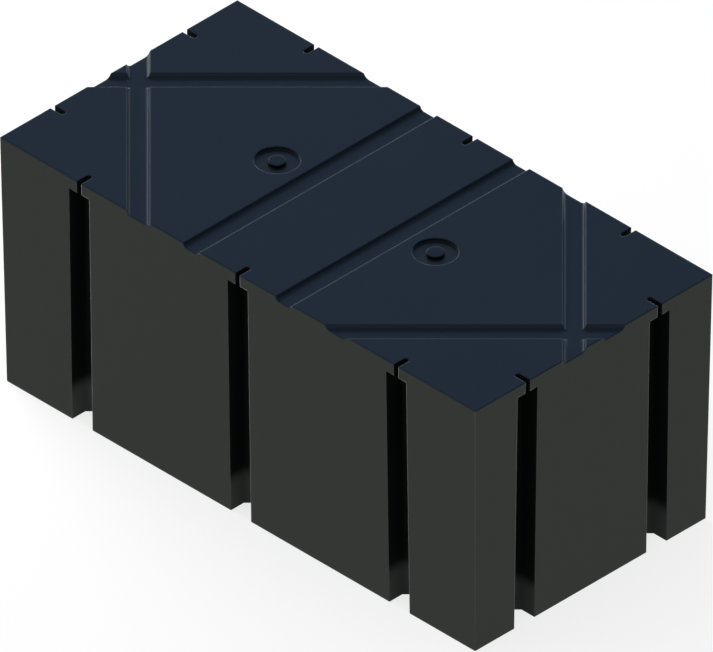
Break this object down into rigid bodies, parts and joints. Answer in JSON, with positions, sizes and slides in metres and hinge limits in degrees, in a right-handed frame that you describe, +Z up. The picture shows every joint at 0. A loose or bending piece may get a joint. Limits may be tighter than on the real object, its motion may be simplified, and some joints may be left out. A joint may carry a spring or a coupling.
{
  "type": "dock float drum",
  "caption": "Sealed rectangular dock float with leaning walls, slotted bolt lips over open channels, a grooved deck and plugged round filling recesses.",
  "frame": {"origin": "centre of the bottom face", "axes": "+X along the long sides, +Y across them, +Z up through the deck; the -Y side is the long side that the picture shows on the left"},
  "size_m": [1.8286, 0.9142, 0.8128],
  "materials": {
    "moulded_body": "black polyethylene, matte as moulded",
    "fill_plug": "black polyethylene, slightly smoother than the body"
  },
  "bodies": {
    "root": {"float_body": "moulded_body", "fill_plug_left": "fill_plug", "fill_plug_right": "fill_plug"}
  },
  "joints": []
}
